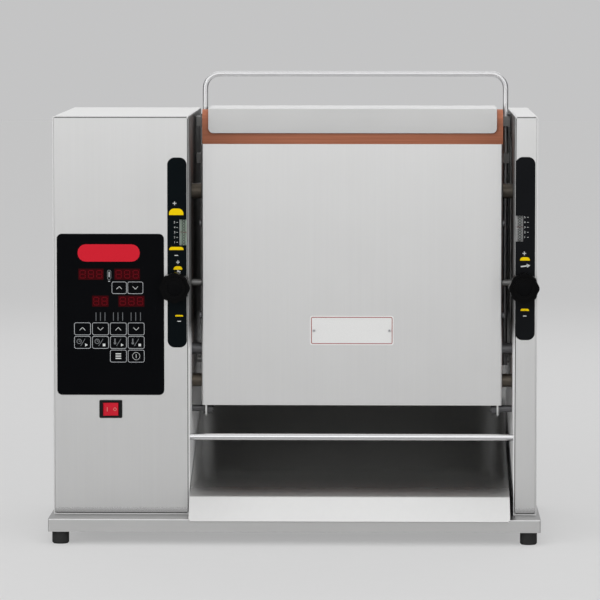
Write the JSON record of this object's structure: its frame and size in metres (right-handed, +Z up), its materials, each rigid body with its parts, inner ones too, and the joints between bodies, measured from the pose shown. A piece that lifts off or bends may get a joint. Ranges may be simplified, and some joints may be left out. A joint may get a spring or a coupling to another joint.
{
  "type": "vertical contact toaster",
  "caption": "Free-standing vertical contact toaster: belt conveyor presses bread on a hot sheet-covered platen between a control tower and a narrow tower, over a discharge chute.",
  "frame": {"origin": "under the middle of the whole outline, at the level of the feet", "axes": "+X to the right seen from the front, +Y to the back, +Z up"},
  "size_m": [0.579, 0.378, 0.551],
  "materials": {
    "stainless": "brushed sheet",
    "bright_steel": "turned and polished",
    "foot_rubber": "matt",
    "film": "satin printed film",
    "black_plastic": "moulded",
    "red_plastic": "translucent look",
    "bronze": "turned",
    "roller_steel": "oiled steel",
    "belt_silicone": "silicone",
    "cast_aluminium": "machined casting",
    "wool_board": "pressed fibre",
    "release_cloth": "coated glass cloth",
    "motor_paint": "powder coat",
    "board": "coated laminate",
    "relay_plastic": "moulded"
  },
  "bodies": {
    "chassis": {"base_pan": "stainless", "feet": "foot_rubber", "left_wrap": "stainless", "left_front_panel": "stainless", "left_rear_panel": "stainless", "right_wrap": "stainless", "right_front_panel": "stainless", "right_rear_panel": "stainless", "membrane_panel": "film", "left_scale_label": "film", "right_scale_label": "film", "rocker_bezel": "black_plastic", "pointer_guides": "black_plastic", "conveyor_side_plates": "stainless", "conveyor_tie_rods": "bright_steel", "cover_pins": "bright_steel", "heel_belt": "belt_silicone", "crown_belt": "belt_silicone", "shaft_bearings": "bronze", "platen": "cast_aluminium", "heating_elements": "roller_steel", "temperature_probe": "bright_steel", "insulation_board": "wool_board", "platen_housing": "stainless", "release_sheet": "release_cloth", "rear_cover": "stainless", "lift_handle": "bright_steel", "front_rod": "bright_steel", "discharge_chute": "stainless", "chute_brackets": "stainless", "gear_motor": "motor_paint", "timing_belt": "belt_silicone", "control_board": "board", "board_posts": "bronze", "power_relay": "relay_plastic", "fan_frame": "black_plastic", "cable_gland": "black_plastic"},
    "drive": {"drive_shaft": "bright_steel", "drive_roller": "roller_steel", "shaft_pulley": "roller_steel"},
    "idler": {"idler_shaft": "bright_steel", "idler_roller": "roller_steel"},
    "motor_output": {"motor_pulley": "roller_steel"},
    "fan": {"fan_rotor": "black_plastic"},
    "rocker": {"power_rocker": "red_plastic"},
    "left_adjuster": {"left_knob": "black_plastic", "left_adjust_screw": "bright_steel"},
    "right_adjuster": {"right_knob": "black_plastic", "right_adjust_screw": "bright_steel"},
    "left_gauge": {"left_pointer": "bright_steel"},
    "right_gauge": {"right_pointer": "bright_steel"},
    "left_press": {"left_adjust_nut": "bronze", "heel_pressure_plate": "stainless"},
    "right_press": {"right_adjust_nut": "bronze", "crown_pressure_plate": "stainless"},
    "cover": {"front_cover": "stainless"},
    "cap": {"feed_cap": "stainless"}
  },
  "joints": [
    {"name": "left_knob_turn", "type": "hinge", "parent": "chassis", "child": "left_adjuster", "pos_m": [-0.141, -0.138, 0.3005], "axis": [0, -1, 0], "range_deg": [-150, 150]},
    {"name": "right_knob_turn", "type": "hinge", "parent": "chassis", "child": "right_adjuster", "pos_m": [0.2697, -0.138, 0.3005], "axis": [0, -1, 0], "range_deg": [-150, 150]},
    {"name": "left_gauge_slide", "type": "slide", "parent": "chassis", "child": "left_gauge", "axis": [0, 0, 1], "range_m": [-0.01309, 0.01309]},
    {"name": "right_gauge_slide", "type": "slide", "parent": "chassis", "child": "right_gauge", "axis": [0, 0, 1], "range_m": [-0.01309, 0.01309]},
    {"name": "left_press_slide", "type": "slide", "parent": "chassis", "child": "left_press", "axis": [0, 1, 0], "range_m": [-0.005, 0.005]},
    {"name": "right_press_slide", "type": "slide", "parent": "chassis", "child": "right_press", "axis": [0, 1, 0], "range_m": [-0.005, 0.005]},
    {"name": "drive_spin", "type": "hinge", "parent": "chassis", "child": "drive", "pos_m": [0.066, -0.0645, 0.41], "axis": [1, 0, 0], "continuous": true},
    {"name": "idler_spin", "type": "hinge", "parent": "chassis", "child": "idler", "pos_m": [0.066, -0.0645, 0.183], "axis": [1, 0, 0], "continuous": true},
    {"name": "motor_spin", "type": "hinge", "parent": "chassis", "child": "motor_output", "pos_m": [-0.168, -0.0645, 0.258], "axis": [1, 0, 0], "continuous": true},
    {"name": "fan_spin", "type": "hinge", "parent": "chassis", "child": "fan", "pos_m": [-0.224, 0.168, 0.36], "axis": [0, 1, 0], "continuous": true},
    {"name": "power_rock", "type": "hinge", "parent": "chassis", "child": "rocker", "pos_m": [-0.218, -0.1385, 0.1553], "axis": [0, 0, 1], "range_deg": [-16, 0]},
    {"name": "cover_lift", "type": "slide", "parent": "chassis", "child": "cover", "axis": [0, 0, 1], "range_m": [0, 0.012]},
    {"name": "cap_lift", "type": "slide", "parent": "chassis", "child": "cap", "axis": [0, 0, 1], "range_m": [0, 0.025]}
  ],
  "couplings": [
    {"joint": "left_gauge_slide", "follows": "left_knob_turn", "m_per_rad": 0.005},
    {"joint": "left_press_slide", "follows": "left_knob_turn", "m_per_rad": -0.0019099},
    {"joint": "right_gauge_slide", "follows": "right_knob_turn", "m_per_rad": -0.005},
    {"joint": "right_press_slide", "follows": "right_knob_turn", "m_per_rad": 0.0019099},
    {"joint": "idler_spin", "follows": "drive_spin", "ratio": 1},
    {"joint": "motor_spin", "follows": "drive_spin", "ratio": 1}
  ]
}
